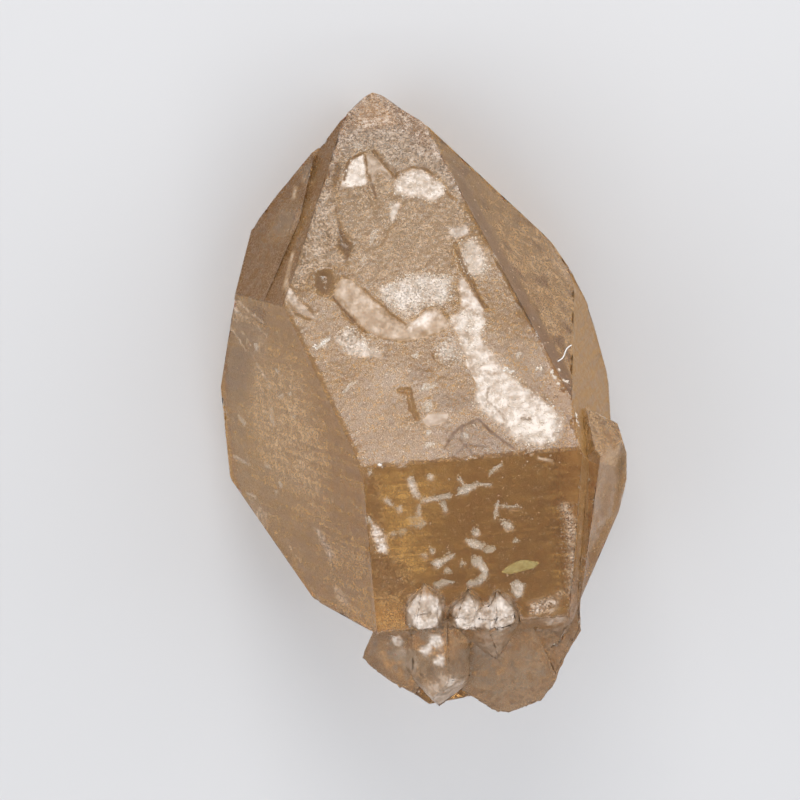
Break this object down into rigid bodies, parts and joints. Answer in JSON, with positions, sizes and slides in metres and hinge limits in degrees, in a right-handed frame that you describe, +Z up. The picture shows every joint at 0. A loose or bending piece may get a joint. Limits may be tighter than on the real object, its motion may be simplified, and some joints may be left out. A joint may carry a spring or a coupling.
{
  "type": "citrine crystal point",
  "caption": "Smoky citrine quartz point lying on its back face, with an etched tip face, milky inclusions and small clear crystals on its foot.",
  "frame": {"origin": "middle of the footprint, at the level of the back prism face that the crystal lies on", "axes": "+Y along the large crystal's c-axis to its tip, +Z up and square to its front prism face, +X towards the thin side crystal"},
  "size_m": [0.078, 0.1162, 0.0644],
  "materials": {
    "citrine": "smoky honey quartz, clear on the front prism face, finely etched on the tip faces",
    "milky_quartz": "milky white veils and flakes sealed in the quartz",
    "yellow_flake": "pale yellow mineral flake sealed in the quartz",
    "lint": "one short white fibre caught on a face"
  },
  "bodies": {
    "root": {"citrine_crystal": "citrine"}
  },
  "joints": []
}
